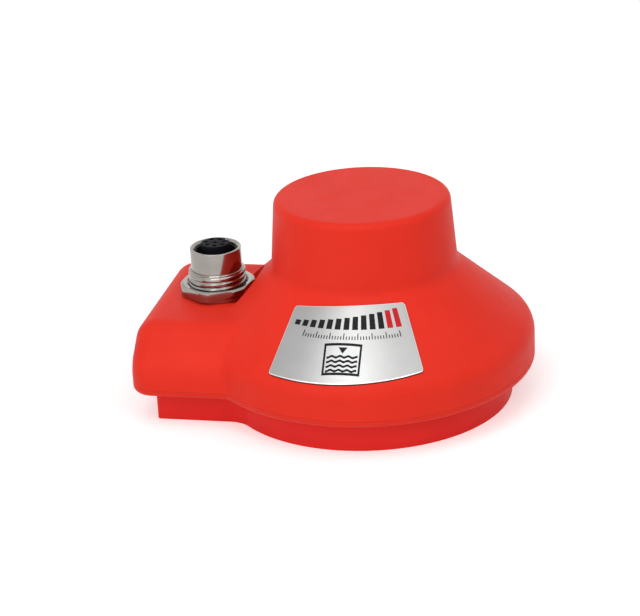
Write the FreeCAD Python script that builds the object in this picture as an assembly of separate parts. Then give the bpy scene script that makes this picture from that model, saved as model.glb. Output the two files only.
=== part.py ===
# Tank level sensor: a red moulded housing with a round radar dome and a side arm
# that carries an 8-pole plug receptacle. Millimetres, +Z up, the arm towards -X.
# The origin is the centre of the round body, on the face that lies on the tank.
import FreeCAD, Part
import math
import os

V = FreeCAD.Vector
Z_AXIS = V(0, 0, 1)

# Turn from one corner of a six-sided drive or nut to the next
side_turn = 60

# Cover, round body
cover_radius = 46.45
cover_height = 57.95
wall = 2.5
skirt_height = 9.35
shoulder_level = 20.25
shoulder_slope = math.radians(41)
shoulder_round = 6.2
dome_radius = 24.1
dome_draft = math.radians(4.7)
dome_foot_round = 3.8
dome_top_round = 1.9
edge_round = 1.9
least_round = 0.5

# Cover, side arm
arm_tail = 18.4
arm_shoulder_level = 19.2
arm_shoulder_round = 11.4
arm_top_round = 7.2
arm_end_round = 6.2
nook_round = 4.0
arm_root = 11.5

# Base
body_overhang = 6.4
side_overhang = 6.8
arm_overhang = 5.65
base_corner_round = 1.0
base_nook_round = 7.6
base_floor = 3.0
base_wall = 2.4
flange_rise = 0.5
flange_thick = 3.6
fit_gap = 0.3

# Gasket in the flange's edge
gasket_height = 1.6
gasket_depth = 1.5
gasket_lift = 1.0
gasket_squeeze_gap = 0.02

# Adhesive pad under the base
pad_thick = 1.0
pad_margin = 1.6
pad_slack = 0.1
pad_window_margin = 0.5
pad_screw_clearance = 0.6

# Label on the shoulder
label_thick = 0.3
label_glue = 0.05
label_dome_gap = 2.2
label_top_bow = 3.15
label_top_half = 14.6
label_rim_gap = 1.25
label_foot_bow = 6.0
label_foot_half = 20.6
label_middle_angle = -87.65
label_tilt = 2.0
label_corner_round = 0.8
label_cut_margin = 1.0

# Cover screws, driven from below
screw_angles = (0, 60, 120, 240, 300)
screw_radius = 1.5
screw_length = 11.0
screw_head_radius = 2.8
screw_head_height = 2.0
screw_slack = 0.1
screw_tip_room = 1.0
pillar_radius = 4.2
pillar_web = 3.0
pillar_drop = 1.0
head_recess_slack = 0.3
boss_radius = 3.4
boss_room = 0.3
boss_rib_thick = 1.6
rib_lift = 0.4
drive_radius_share = 0.42
drive_depth_share = 0.5

# Plug receptacle
plug_setback = 11.6
plug_rise = 13.7
barrel_step = 0.85
barrel_length = 6.1
barrel_bevel = 0.3
stub_radius = 8.0
stub_shoulder_round = 0.5
socket_radius = 6.0
socket_depth = 10.0
socket_bevel = 0.2
panel_gap = 0.1
panel_hole_slack = 0.2
shell_flange_rim = 0.75
shell_flange_thick = 2.7
shell_tail_step = 0.3
shell_tail_length = 3.1
insert_ledge = 1.2
wrench_room = 3.3

# Seal ring under the receptacle's flange
seal_inset = 0.65
seal_radius = 0.65
seal_squeeze_gap = 0.02
seal_groove_slack = 0.1

# Washer and nut of the receptacle
washer_rim = 1.3
washer_thick = 0.65
washer_slack = 0.15
nut_side = 1.7
nut_corner = 0.7
nut_thick = 3.05
nut_chamfer = 0.8
nut_turn = 50.0
nut_thread_gap = 0.05
nut_countersink = 0.7

# Insert and contacts
insert_space = 2.0
insert_proud = 1.15
insert_slack = 0.05
insert_tail = 1.0
key_width = 1.3
key_depth = 0.6
contact_edge = 1.35
contact_count = 7
contact_turn = 23.0
contact_radius = 0.62
contact_bore_radius = 0.42
contact_bore_depth = 6.0
contact_set_back = 1.1
contact_tail = 2.2
contact_slack = 0.03
hole_mouth_radius = 0.55

# Main board, in the arm
board_thick = 1.6
board_stand = 1.8
board_start_gap = 1.0
board_end_gap = 1.55
board_side_gap = 0.3
board_half_width = 15.2
board_corner = 1.5
board_screw_inset = 2.6
board_screw_radius = 1.2
board_screw_length = 4.0
board_head_radius = 2.2
board_head_height = 1.5
board_boss_radius = 2.4
blind_hole_room = 0.3

# Header, plug and wires
wire_room = 4.5
wire_radius = 0.5
wire_pitch = 1.3
wire_depth = 1.6
wire_slack = 0.05
pin_radius = 0.3
pin_slack = 0.04
pin_tail = 1.0
pin_rise = 2.2
plug_half_depth = 1.6
plug_side = 0.7
header_wall = 0.8
header_height = 3.2
header_floor = 0.8
plug_height = 4.4
plug_slack = 0.1

# Board components
capacitor_radius = 3.1
capacitor_height = 6.6
capacitor_place = (1.8, 10.9)
chip_side = 7.0
chip_height = 1.0
chip_place = (1.4, -11.2)
memory_side = 3.6
memory_place = (-3.6, 9.2)
coil_side = 4.0
coil_height = 3.2
coil_line = -6.3
coil_inset = 7.0
component_round = 0.4

# Radar horn, lens and board
horn_mouth_inset = 5.8
horn_throat_radius = 1.6
horn_wall = 1.6
horn_room = 0.15
horn_flange_thick = 2.0
horn_top_thick = 2.0
horn_throat_length = 6.0
horn_screw_edge = 2.8
horn_screw_angles = (30, 150, 270)
horn_screw_radius = 1.25
horn_screw_length = 6.0
horn_boss_radius = 2.6
horn_head_radius = 2.3
horn_head_height = 1.6
lens_step = 1.5
lens_edge = 3.4
lens_crown = 5.8
lens_crown_margin = 0.6
lens_slack = 0.2
lens_ring_wall = 1.8
radar_board_rim = 2.2
radar_board_thick = 1.2
shield_side = 15.0
shield_height = 2.6
shield_room = 4.25
shield_wall = 0.3
radar_chip_side = 9.0
radar_chip_height = 0.9
radar_screw_gap = 2.1
radar_screw_edge = 2.3
radar_screw_angles = (0, 120, 240)
radar_screw_length = 3.0
radar_screw_radius = 0.9
radar_head_radius = 1.7
radar_head_height = 1.1

# Flat lead between the boards
strip_width = 8.0
strip_thick = 0.3
strip_drop_gap = 1.4
strip_socket_height = 2.0
strip_socket_depth = 4.0
strip_socket_side = 1.2
strip_socket_back = 0.8
strip_slack = 0.05
strip_start_gap = 3.0
strip_socket_inset = 3.1
strip_lift = 1.0
strip_foot_lift = 0.6
strip_knee_drop = 0.7
strip_foot_level = 14.3
strip_round = 1.6
strip_knee_round = 6.0

# Places along the body, worked out from the rim inwards and then out along the arm
base_radius = cover_radius - body_overhang
screw_circle = base_radius - base_wall - boss_room - boss_radius
horn_flange_radius = screw_circle - pillar_radius - horn_room
horn_screw_circle = horn_flange_radius - horn_screw_edge
horn_mouth_radius = horn_screw_circle - horn_mouth_inset
lens_radius = horn_mouth_radius + lens_step
pad_window_radius = lens_radius - pad_window_margin
board_near = horn_flange_radius + board_start_gap
plug_reach = board_near + plug_setback
arm_reach = plug_reach + arm_tail
base_reach = arm_reach - arm_overhang
board_far = base_reach - base_wall - board_end_gap
arm_screw_reach = base_reach - base_wall - boss_room - boss_radius
strip_end = board_near + strip_socket_inset

# Places across the arm, worked out from the board outwards
arm_screw_offset = board_half_width + board_side_gap + pillar_radius
base_half_width = arm_screw_offset + boss_radius + boss_room + base_wall
arm_half_width = base_half_width + side_overhang

# Radii about the receptacle's axis
barrel_radius = stub_radius - barrel_step
shell_tail_radius = stub_radius - shell_tail_step
seal_mid_radius = stub_radius + seal_inset + seal_radius
shell_flange_radius = seal_mid_radius + seal_radius + seal_groove_slack + shell_flange_rim
washer_radius = stub_radius + washer_rim
nut_half_flats = stub_radius + nut_side
nut_corner_radius = nut_half_flats + nut_corner
pocket_radius = nut_corner_radius + wrench_room
insert_seat_radius = socket_radius - insert_ledge
insert_radius = socket_radius - insert_space
contact_circle = insert_radius - contact_edge

# Levels inside, from the base up
flange_level = skirt_height + flange_rise
flange_top = flange_level + flange_thick
pillar_top = flange_top - pillar_drop
screw_seat = pillar_top - pillar_web
board_under = base_floor + board_stand
board_top = board_under + board_thick
header_top = board_top + header_height
plug_base = board_top + header_floor + plug_slack
plug_top = plug_base + plug_height
lens_top = base_floor + lens_edge

# Levels of the receptacle, from the plug on the board up
contact_end = plug_top + wire_room
insert_end = contact_end + contact_tail
shell_end = insert_end + insert_tail
flange_under = shell_end + shell_tail_length
plateau_under = flange_under + shell_flange_thick + panel_gap
arm_height = plateau_under + wall
nut_base = arm_height + washer_thick
barrel_top = arm_height + plug_rise
stub_top = barrel_top - barrel_length
insert_face = barrel_top + insert_proud

# Radii and levels of the radar unit, from its screened chip out and from the dome down
radar_screw_circle = shield_side / 2 + radar_screw_gap + radar_head_radius
horn_top_radius = radar_screw_circle + radar_screw_edge
radar_board_radius = horn_top_radius + radar_board_rim
strip_start = shield_side / 2 + strip_start_gap
strip_drop_reach = radar_board_radius + strip_drop_gap
radar_board_top = cover_height - wall - shield_room - shield_height
horn_top = radar_board_top - radar_board_thick
strip_knee_level = plateau_under - strip_knee_drop

# Reach of the label down the slope, between the dome's foot and the rim
dome_at_ground = dome_radius + cover_height * math.tan(dome_draft)
slope_rise = shoulder_level + (cover_radius - dome_at_ground) * math.tan(shoulder_slope)
dome_foot_level = slope_rise / (1 - math.tan(dome_draft) * math.tan(shoulder_slope))
dome_foot_radius = dome_at_ground - dome_foot_level * math.tan(dome_draft)
label_top_middle = dome_foot_radius + label_dome_gap
label_top_reach = label_top_middle - label_top_bow
label_foot_middle = cover_radius - label_rim_gap
label_foot_reach = label_foot_middle - label_foot_bow


def rounded(points, radii, closed=True):
    """Edges of a polyline whose corners are rounded by the given radii."""
    count = len(points)
    corners = []
    for i, here in enumerate(points):
        open_end = not closed and i in (0, count - 1)
        if radii[i] <= 0 or open_end:
            corners.append((here, None, here))
            continue
        before = (points[i - 1] - here).normalize()
        after = (points[(i + 1) % count] - here).normalize()
        half = before.getAngle(after) / 2
        back = radii[i] / math.tan(half)
        middle = here + (before + after).normalize() * (radii[i] / math.sin(half) - radii[i])
        corners.append((here + before * back, middle, here + after * back))
    edges = []
    for i, (start, middle, end) in enumerate(corners):
        if middle is not None:
            edges.append(Part.Arc(start, middle, end).toShape())
        following = corners[(i + 1) % count][0]
        if (closed or i < count - 1) and end.distanceToPoint(following) > 1e-6:
            edges.append(Part.LineSegment(end, following).toShape())
    return edges


def turned(outline, radii=None):
    """Solid of revolution about Z from a closed outline of (radius, height) pairs."""
    points = [V(radius, 0, height) for radius, height in outline]
    face = Part.Face(Part.Wire(rounded(points, radii or [0] * len(points))))
    return face.revolve(V(0, 0, 0), Z_AXIS, 360)


def rod(radius, low, high, place=(0, 0)):
    """Upright cylinder between two levels."""
    return Part.makeCylinder(radius, high - low, V(place[0], place[1], low))


def block(size_x, size_y, low, high, place=(0, 0)):
    """Upright box between two levels, centred on a place."""
    corner = V(place[0] - size_x / 2, place[1] - size_y / 2, low)
    return Part.makeBox(size_x, size_y, high - low, corner)


def round_places(circle, angles):
    """Places on a circle about the body's axis."""
    turns = [math.radians(angle) for angle in angles]
    return [(circle * math.cos(turn), circle * math.sin(turn)) for turn in turns]


def keyhole(inset, low, high):
    """Slab with the cover's plan, drawn in by an inset."""
    corner = arm_end_round - inset
    nook = nook_round + inset
    return plan(cover_radius - inset, arm_half_width - inset, arm_reach - inset, corner, nook, low, high)


def base_plan(inset, low, high):
    """Slab with the base's plan, drawn in by an inset."""
    corner = max(base_corner_round - inset, least_round)
    nook = base_nook_round + inset
    return plan(base_radius - inset, base_half_width - inset, base_reach - inset, corner, nook, low, high)


def plan(radius, half_width, reach, corner, nook, low, high):
    """Slab of a disc with a side arm, whose inner corners are arcs of radius nook."""
    side = half_width + nook
    along = -math.sqrt((radius + nook) ** 2 - side ** 2)
    shrink = radius / (radius + nook)
    on_disc = V(along * shrink, side * shrink, low)
    on_side = V(along, half_width, low)
    centre = V(along, side, low)
    mirror = [V(point.x, -point.y, low) for point in (on_side, on_disc)]
    edges = [Part.Arc(mirror[1], V(radius, 0, low), on_disc).toShape()]
    corners = [on_side, V(-reach, half_width, low), V(-reach, -half_width, low), mirror[0]]
    sides = rounded(corners, [0, corner, corner, 0], closed=False)
    bend = ((on_disc - centre).normalize() + V(0, -1, 0)).normalize()
    middle = centre + bend * nook
    edges.append(Part.Arc(on_disc, middle, on_side).toShape())
    sides.append(Part.Arc(mirror[0], V(middle.x, -middle.y, low), mirror[1]).toShape())
    return Part.Face(Part.Wire(edges + sides)).extrude(V(0, 0, high - low))


def lowered_shoulder(level, inset):
    """Level of the corner between an upright wall and the slope, drawn in by an inset."""
    return level - inset * (1 - math.sin(shoulder_slope)) / math.cos(shoulder_slope)


def half_body(inset, low):
    """Half of the round body, with its shoulder and dome, drawn in by an inset."""
    rim = cover_radius - inset
    shoulder = lowered_shoulder(shoulder_level, inset)
    top = cover_height - inset
    slope = math.tan(shoulder_slope)
    draft = math.tan(dome_draft)
    dome_at_ground = dome_radius - inset / math.cos(dome_draft) + cover_height * draft
    foot_level = (shoulder + (rim - dome_at_ground) * slope) / (1 - draft * slope)
    outline = [
        V(0, 0, low),
        V(rim, 0, low),
        V(rim, 0, shoulder),
        V(dome_at_ground - foot_level * draft, 0, foot_level),
        V(dome_at_ground - top * draft, 0, top),
        V(0, 0, top),
    ]
    shoulder_bend = max(shoulder_round - inset, least_round)
    top_bend = max(dome_top_round - inset, least_round)
    radii = [0, 0, shoulder_bend, dome_foot_round + inset, top_bend, 0]
    face = Part.Face(Part.Wire(rounded(outline, radii)))
    return face.revolve(V(0, 0, 0), Z_AXIS, 180)


def half_arm(inset, low):
    """Half of the side arm, with its sloping shoulder, drawn in by an inset."""
    side = arm_half_width - inset
    shoulder = lowered_shoulder(arm_shoulder_level, inset)
    top = arm_height - inset
    top_side = side - (top - shoulder) / math.tan(shoulder_slope)
    end = inset - arm_reach
    outline = [
        V(end, 0, low),
        V(end, side, low),
        V(end, side, shoulder),
        V(end, top_side, top),
        V(end, 0, top),
    ]
    shoulder_bend = max(arm_shoulder_round - inset, least_round)
    top_bend = max(arm_top_round - inset, least_round)
    face = Part.Face(Part.Wire(rounded(outline, [0, 0, shoulder_bend, top_bend, 0])))
    return face.extrude(V(-arm_root - end, 0, 0))


def middle_of(edge):
    """Point halfway along an edge."""
    return edge.valueAt((edge.FirstParameter + edge.LastParameter) / 2)


def on_both(edge, first, second):
    """True where an edge's middle lies on the skins of two solids."""
    point = Part.Vertex(middle_of(edge))
    return all(point.distToShape(solid.Shells[0])[0] < 1e-4 for solid in (first, second))


def housing_form(inset, low, foot):
    """Solid form of the whole housing, drawn in by an inset, with its bottom edge rounded by foot."""
    disc = half_body(inset, low)
    side = half_arm(inset, low)
    half = disc.fuse(side)
    end = inset - arm_reach
    rim = [edge for edge in half.Edges
           if abs(edge.BoundBox.XMax - end) < 1e-4 and middle_of(edge).z > low and middle_of(edge).y > 0]
    half = half.makeFillet(max(arm_end_round - inset, least_round), rim)
    nooks = [edge for edge in half.Edges
             if on_both(edge, disc, side) and middle_of(edge).z > low and middle_of(edge).y > 1e-4]
    half = half.makeFillet(nook_round + inset, nooks)
    if foot > 0:
        bottom = [edge for edge in half.Edges
                  if edge.BoundBox.ZMax < low + 1e-4 and middle_of(edge).y > 1e-4]
        half = half.makeFillet(foot, bottom)
    return half.fuse(half.mirror(V(0, 0, 0), V(0, 1, 0))).removeSplitter()


def joined(shapes):
    """Union of several shapes."""
    return shapes[0].fuse(shapes[1:]).removeSplitter()


def hollowed(shape, voids):
    """Shape with several voids cut away."""
    return shape.cut(voids).removeSplitter()


def plate(near, far, half_width, corner, low, high):
    """Board with rounded corners, between two distances along -X."""
    corners = [
        V(-near, half_width, low),
        V(-far, half_width, low),
        V(-far, -half_width, low),
        V(-near, -half_width, low),
    ]
    return Part.Face(Part.Wire(rounded(corners, [corner] * 4))).extrude(V(0, 0, high - low))


def prism(radius, turn, low, high):
    """Upright six-sided prism about Z."""
    angles = [turn + side_turn * i for i in range(6)]
    points = [V(x, y, low) for x, y in round_places(radius, angles)]
    return Part.Face(Part.makePolygon(points + points[:1])).extrude(V(0, 0, high - low))


def screw(radius, length, head_radius, head_height):
    """Screw pointing up from the origin, its head below, with a six-sided drive."""
    shank = rod(radius, 0, length)
    head = rod(head_radius, -head_height, 0)
    drive_depth = head_height * drive_depth_share
    drive = prism(head_radius * drive_radius_share, 0, -head_height, drive_depth - head_height)
    return joined([shank, head]).cut(drive)


def placed(shape, places, level, upward=True):
    """Copies of a screw set at a level, pointing up or down."""
    turn = FreeCAD.Rotation(V(1, 0, 0), 0 if upward else 180)
    copies = []
    for x, y in places:
        copy = shape.copy()
        copy.Placement = FreeCAD.Placement(V(x, y, level), turn)
        copies.append(copy)
    return Part.makeCompound(copies)


def at_plug(shape):
    """Shape made about the origin's axis, moved to the receptacle's axis."""
    return shape.translate(V(-plug_reach, 0, 0))


def screw_places():
    """Places of the cover screws."""
    beside = [(-arm_screw_reach, arm_screw_offset), (-arm_screw_reach, -arm_screw_offset)]
    return round_places(screw_circle, screw_angles) + beside


def board_screw_places():
    """Places of the main board's screws."""
    offset = board_half_width - board_screw_inset
    lines = (board_near + board_screw_inset, board_far - board_screw_inset)
    return [(-line, side * offset) for line in lines for side in (1, -1)]


def contact_places():
    """Places of the contacts about the receptacle's axis."""
    turns = [contact_turn + 360 / contact_count * i for i in range(contact_count)]
    return [(0, 0)] + round_places(contact_circle, turns)


def slot_places():
    """Places of the wires in the plug, on a line below the receptacle."""
    count = contact_count + 1
    return [(-plug_reach, wire_pitch * (i - (count - 1) / 2)) for i in range(count)]


def on_board(place):
    """Place given from the main board's centre."""
    return (place[0] - (board_near + board_far) / 2, place[1])


def row_half():
    """Half the length of the row of wires, with the plug's side walls."""
    return wire_pitch * contact_count / 2 + wire_radius + plug_side


def upper_housing():
    """Moulded cover with screw bosses, ribs and a pocket for the receptacle."""
    form = housing_form(0, skirt_height, edge_round)
    room = housing_form(wall, skirt_height, 0)
    spot = (-plug_reach, 0)
    kept = [rod(pocket_radius + wall, plateau_under, cover_height, spot)]
    kept += [rod(boss_radius, pillar_top, cover_height, place) for place in screw_places()]
    rib_low = flange_top + rib_lift
    for angle in screw_angles:
        corner = V(screw_circle, -boss_rib_thick / 2, rib_low)
        rib = Part.makeBox(cover_radius - screw_circle, boss_rib_thick, cover_height, corner)
        kept.append(rib.rotate(V(0, 0, 0), Z_AXIS, angle))
    for side in (1, -1):
        middle = side * (arm_screw_offset + arm_half_width) / 2
        span = arm_half_width - arm_screw_offset
        kept.append(block(boss_rib_thick, span, rib_low, cover_height, (-arm_screw_reach, middle)))
    shell = form.cut(room.cut(kept))
    pilot_top = screw_seat + screw_length + screw_tip_room
    voids = [rod(screw_radius + screw_slack, pillar_top, pilot_top, place) for place in screw_places()]
    voids.append(rod(pocket_radius, arm_height, cover_height, spot))
    voids.append(rod(stub_radius + panel_hole_slack, shell_end, cover_height, spot))
    return hollowed(shell, voids)


def base_housing():
    """Moulded tray with the flange that the cover closes on, posts and bosses."""
    gap = wall + fit_gap
    groove_low = flange_level + gasket_lift
    groove_high = groove_low + gasket_height
    outside = [
        base_plan(0, 0, flange_top),
        keyhole(gap, flange_level, groove_low),
        keyhole(gap + gasket_depth, groove_low, groove_high),
        keyhole(gap, groove_high, flange_top),
    ]
    tray = joined(outside).cut(base_plan(base_wall, base_floor, flange_top))
    ring_radius = lens_radius + lens_slack
    ring = rod(ring_radius + lens_ring_wall, 0, lens_top).cut(rod(ring_radius, 0, lens_top))
    horn_places = round_places(horn_screw_circle, horn_screw_angles)
    posts = [rod(pillar_radius, pad_thick, pillar_top, place) for place in screw_places()]
    posts += [rod(board_boss_radius, pad_thick, board_under, place) for place in board_screw_places()]
    posts += [rod(horn_boss_radius, pad_thick, lens_top, place) for place in horn_places]
    tray = joined([tray, ring] + posts)
    recess = base_plan(pad_margin - pad_slack, 0, pad_thick)
    recess = recess.cut(rod(pad_window_radius - pad_slack, 0, pad_thick))
    voids = [recess]
    voids += [rod(screw_head_radius + head_recess_slack, 0, screw_seat, place) for place in screw_places()]
    voids += [rod(screw_radius + screw_slack, 0, pillar_top, place) for place in screw_places()]
    board_hole_low = board_top - board_screw_length - blind_hole_room
    board_hole = board_screw_radius + screw_slack
    voids += [rod(board_hole, board_hole_low, board_under, place) for place in board_screw_places()]
    horn_hole_low = lens_top + horn_flange_thick - horn_screw_length - blind_hole_room
    horn_hole = horn_screw_radius + screw_slack
    voids += [rod(horn_hole, horn_hole_low, lens_top, place) for place in horn_places]
    return hollowed(tray, voids)


def housing_gasket():
    """Rubber ring in the flange's edge, pressed on the inside of the cover."""
    low = flange_level + gasket_lift
    high = low + gasket_height
    outside = keyhole(wall + gasket_squeeze_gap, low, high)
    return outside.cut(keyhole(wall + fit_gap + gasket_depth, low, high))


def base_screws():
    """Screws that hold the cover on the base."""
    one = screw(screw_radius, screw_length, screw_head_radius, screw_head_height)
    return placed(one, screw_places(), screw_seat)


def adhesive_pad():
    """Sticky pad that holds the sensor on the tank, open below the lens."""
    hole = screw_head_radius + head_recess_slack + pad_screw_clearance
    voids = [rod(hole, 0, pad_thick, place) for place in screw_places()]
    voids.append(rod(pad_window_radius, 0, pad_thick))
    return hollowed(base_plan(pad_margin, 0, pad_thick), voids)


def label_plate():
    """Thin plate on the sloping shoulder, with two curved edges and rounded corners."""
    normal = V(math.sin(shoulder_slope), 0, math.cos(shoulder_slope))
    ends = []
    for radius in (label_top_reach - label_cut_margin, label_foot_middle + label_cut_margin):
        level = shoulder_level + (cover_radius - radius) * math.tan(shoulder_slope)
        ends.append(V(radius, 0, level) + normal * label_glue)
    section = [ends[0], ends[1], ends[1] + normal * label_thick, ends[0] + normal * label_thick]
    face = Part.Face(Part.makePolygon(section + section[:1]))
    skin = face.revolve(V(0, 0, 0), Z_AXIS, 360)
    head = [V(label_top_reach, side * label_top_half, 0) for side in (-1, 1)]
    foot = [V(label_foot_reach, side * label_foot_half, 0) for side in (1, -1)]
    outline = Part.Wire([
        Part.Arc(head[0], V(label_top_middle, 0, 0), head[1]).toShape(),
        Part.LineSegment(head[1], foot[0]).toShape(),
        Part.Arc(foot[0], V(label_foot_middle, 0, 0), foot[1]).toShape(),
        Part.LineSegment(foot[1], head[0]).toShape(),
    ])
    cutter = Part.Face(outline).extrude(V(0, 0, cover_height))
    upright = [edge for edge in cutter.Edges if edge.BoundBox.ZLength > cover_height / 2]
    cutter = cutter.makeFillet(label_corner_round, upright)
    middle = V((label_top_middle + label_foot_middle) / 2, 0, 0)
    cutter.rotate(middle, Z_AXIS, label_tilt)
    cutter.rotate(V(0, 0, 0), Z_AXIS, label_middle_angle)
    return skin.common(cutter)


def connector_shell():
    """Metal shell of the receptacle: flange inside the cover, threaded stub and barrel outside."""
    flange_over = flange_under + shell_flange_thick
    groove_base = plateau_under - 2 * seal_radius - 2 * seal_squeeze_gap
    groove_near = seal_mid_radius - seal_radius - seal_groove_slack
    groove_far = seal_mid_radius + seal_radius + seal_groove_slack
    socket_floor = barrel_top - socket_depth
    outline = [
        (insert_seat_radius, shell_end),
        (shell_tail_radius, shell_end),
        (shell_tail_radius, flange_under),
        (shell_flange_radius, flange_under),
        (shell_flange_radius, flange_over),
        (groove_far, flange_over),
        (groove_far, groove_base),
        (groove_near, groove_base),
        (groove_near, flange_over),
        (stub_radius, flange_over),
        (stub_radius, stub_top),
        (barrel_radius, stub_top),
        (barrel_radius, barrel_top - barrel_bevel),
        (barrel_radius - barrel_bevel, barrel_top),
        (socket_radius + socket_bevel, barrel_top),
        (socket_radius, barrel_top - socket_bevel),
        (socket_radius, socket_floor),
        (insert_seat_radius, socket_floor),
    ]
    radii = [stub_shoulder_round if point == (stub_radius, stub_top) else 0 for point in outline]
    return at_plug(turned(outline, radii))


def connector_washer():
    """Flat washer under the nut."""
    washer = rod(washer_radius, arm_height, nut_base)
    return at_plug(washer.cut(rod(stub_radius + washer_slack, arm_height, nut_base)))


def connector_nut():
    """Six-sided nut on the stub, its corners turned off."""
    top = nut_base + nut_thick
    corner = nut_half_flats / math.cos(math.radians(side_turn / 2))
    crown = turned([
        (stub_radius + nut_thread_gap, nut_base),
        (nut_corner_radius, nut_base),
        (nut_corner_radius, top - nut_chamfer / 2),
        (nut_corner_radius - nut_chamfer, top),
        (stub_radius + nut_countersink, top),
        (stub_radius + nut_thread_gap, top - nut_countersink),
    ])
    return at_plug(crown.common(prism(corner, nut_turn - side_turn / 2, nut_base, top)))


def connector_seal():
    """Sealing ring between the shell's flange and the cover."""
    level = plateau_under - seal_squeeze_gap - seal_radius
    return Part.makeTorus(seal_mid_radius, seal_radius, V(-plug_reach, 0, level))


def connector_insert():
    """Moulded carrier of the contacts, with a key slot."""
    socket_floor = barrel_top - socket_depth
    tail = rod(insert_seat_radius - insert_slack, insert_end, socket_floor)
    stem = joined([tail, rod(insert_radius, socket_floor, insert_face)])
    seat_end = insert_face - contact_set_back
    voids = [rod(contact_radius + contact_slack, insert_end, seat_end, place) for place in contact_places()]
    voids += [rod(hole_mouth_radius, seat_end, insert_face, place) for place in contact_places()]
    key_place = (insert_radius, 0)
    key = block(2 * key_depth, key_width, socket_floor, insert_face, key_place)
    turn = contact_turn + 180 / contact_count
    voids.append(key.rotate(V(0, 0, 0), Z_AXIS, turn))
    return at_plug(hollowed(stem, voids))


def connector_contacts():
    """Sleeves that take the pins of a cable plug."""
    top = insert_face - contact_set_back
    bore = rod(contact_bore_radius, top - contact_bore_depth, top)
    sleeve = rod(contact_radius, contact_end, top).cut(bore)
    sleeves = []
    for x, y in contact_places():
        copy = sleeve.copy()
        sleeves.append(copy.translate(V(x - plug_reach, y, 0)))
    return Part.makeCompound(sleeves)


def lead_wires():
    """Wires from the contacts to the plug on the main board, each an S of two arcs."""
    starts = [(x - plug_reach, y) for x, y in contact_places()]
    starts.sort(key=lambda place: place[1])
    wires = []
    for start, slot in zip(starts, slot_places()):
        above = V(start[0], start[1], contact_end)
        below = V(slot[0], slot[1], plug_top)
        foot = V(slot[0], slot[1], plug_top - wire_depth)
        path = s_bend(above, below) + [Part.LineSegment(below, foot).toShape()]
        ring = Part.Wire(Part.makeCircle(wire_radius, above, Z_AXIS))
        wires.append(Part.Wire(path).makePipeShell([ring], True, False))
    return Part.makeCompound(wires)


def s_bend(above, below):
    """Two arcs that lead down from one point to another, upright at both ends."""
    aside = V(below.x - above.x, below.y - above.y, 0)
    shift = aside.Length / 2
    drop = (above.z - below.z) / 2
    if shift < 1e-3:
        return [Part.LineSegment(above, below).toShape()]
    bend = (drop ** 2 + shift ** 2) / (2 * shift)
    half_turn = math.asin(drop / bend) / 2
    along = aside.normalize()
    out = bend * (1 - math.cos(half_turn))
    down = bend * math.sin(half_turn)
    middle = (above + below) / 2
    first = above + along * out - Z_AXIS * down
    second = below - along * out + Z_AXIS * down
    return [Part.Arc(above, first, middle).toShape(), Part.Arc(middle, second, below).toShape()]


def lead_plug():
    """Plug that joins the wires to the header."""
    half = row_half()
    body = block(2 * plug_half_depth, 2 * half, plug_base, plug_top, (-plug_reach, 0))
    pin_top = board_top + header_floor + pin_rise + blind_hole_room
    voids = [rod(pin_radius + pin_slack, plug_base, pin_top, place) for place in slot_places()]
    wire_low = plug_top - wire_depth
    voids += [rod(wire_radius + wire_slack, wire_low, plug_top, place) for place in slot_places()]
    return hollowed(body, voids)


def board_header():
    """Header on the main board, around the plug."""
    depth = 2 * (plug_half_depth + plug_slack)
    length = 2 * (row_half() + plug_slack)
    place = (-plug_reach, 0)
    outside = block(depth + 2 * header_wall, length + 2 * header_wall, board_top, header_top, place)
    voids = [block(depth, length, board_top + header_floor, header_top, place)]
    voids += [rod(pin_radius + pin_slack, board_top, header_top, slot) for slot in slot_places()]
    return hollowed(outside, voids)


def header_pins():
    """Pins of the header, through the main board."""
    low = board_under - pin_tail
    high = board_top + header_floor + pin_rise
    return Part.makeCompound([rod(pin_radius, low, high, place) for place in slot_places()])


def main_board():
    """Circuit board in the side arm."""
    sheet = plate(board_near, board_far, board_half_width, board_corner, board_under, board_top)
    hole = board_screw_radius + screw_slack
    voids = [rod(hole, board_under, board_top, place) for place in board_screw_places()]
    voids += [rod(pin_radius + pin_slack, board_under, board_top, place) for place in slot_places()]
    return hollowed(sheet, voids)


def board_screws():
    """Screws that hold the main board on its bosses."""
    one = screw(board_screw_radius, board_screw_length, board_head_radius, board_head_height)
    return placed(one, board_screw_places(), board_top, upward=False)


def board_capacitor():
    """Round capacitor on the main board."""
    place = on_board(capacitor_place)
    can = rod(capacitor_radius, board_top, board_top + capacitor_height, place)
    upper = [edge for edge in can.Edges if edge.BoundBox.ZMin > board_top]
    return can.makeFillet(component_round, upper)


def board_chips():
    """Two flat chips on the main board."""
    high = board_top + chip_height
    large = block(chip_side, chip_side, board_top, high, on_board(chip_place))
    small = block(memory_side, memory_side, board_top, high, on_board(memory_place))
    return Part.makeCompound([large, small])


def power_coil():
    """Square power coil on the main board."""
    place = on_board((coil_line, coil_inset - board_half_width))
    body = block(coil_side, coil_side, board_top, board_top + coil_height, place)
    upright = [edge for edge in body.Edges if edge.BoundBox.ZLength > coil_height / 2]
    return body.makeFillet(component_round, upright)


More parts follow.
